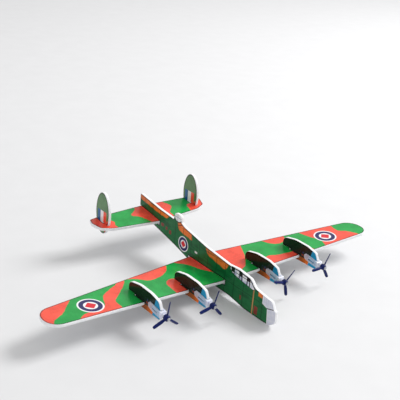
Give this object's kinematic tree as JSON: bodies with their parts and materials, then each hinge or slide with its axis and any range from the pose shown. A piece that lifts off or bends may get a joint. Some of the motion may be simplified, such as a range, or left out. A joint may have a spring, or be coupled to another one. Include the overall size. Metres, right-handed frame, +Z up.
{
  "type": "foam toy glider",
  "caption": "Slot-together printed foam glider with a straight tapered wing, twin oval fins, upright nacelle plates and freewheeling propellers.",
  "frame": {"origin": "middle of the belly's level stretch, on the centreline, just below the balance point", "axes": "+Z up, nose towards -Y, left (port) wing towards +X"},
  "size_m": [0.3, 0.1709, 0.0529],
  "materials": {
    "printed_foam": "camouflage print on white polystyrene foam sheet, glossy faces, matte cut edges",
    "clear_plastic": "milky translucent moulded plastic",
    "navy_plastic": "glossy dark navy moulded plastic",
    "steel": "plain steel pin"
  },
  "bodies": {
    "airframe": {"fuselage": "printed_foam", "wing": "printed_foam", "tailplane": "printed_foam", "fin_left": "printed_foam", "fin_right": "printed_foam", "nacelle_left_outer": "printed_foam", "nacelle_left_inner": "printed_foam", "nacelle_right_inner": "printed_foam", "nacelle_right_outer": "printed_foam", "prop_clip_left_outer": "clear_plastic", "prop_clip_left_inner": "clear_plastic", "prop_clip_right_inner": "clear_plastic", "prop_clip_right_outer": "clear_plastic", "axle_pin_left_outer": "steel", "axle_pin_left_inner": "steel", "axle_pin_right_inner": "steel", "axle_pin_right_outer": "steel"},
    "spinner_left_outer": {"propeller_left_outer": "navy_plastic"},
    "spinner_left_inner": {"propeller_left_inner": "navy_plastic"},
    "spinner_right_inner": {"propeller_right_inner": "navy_plastic"},
    "spinner_right_outer": {"propeller_right_outer": "navy_plastic"}
  },
  "joints": [
    {"name": "spin_left_outer", "type": "hinge", "parent": "airframe", "child": "spinner_left_outer", "pos_m": [0.0742, -0.033, 0.01423], "axis": [0, 1, 0], "continuous": true},
    {"name": "spin_left_inner", "type": "hinge", "parent": "airframe", "child": "spinner_left_inner", "pos_m": [0.0342, -0.033, 0.01157], "axis": [0, 1, 0], "continuous": true},
    {"name": "spin_right_inner", "type": "hinge", "parent": "airframe", "child": "spinner_right_inner", "pos_m": [-0.0342, -0.033, 0.01157], "axis": [0, 1, 0], "continuous": true},
    {"name": "spin_right_outer", "type": "hinge", "parent": "airframe", "child": "spinner_right_outer", "pos_m": [-0.0742, -0.033, 0.01423], "axis": [0, 1, 0], "continuous": true}
  ]
}
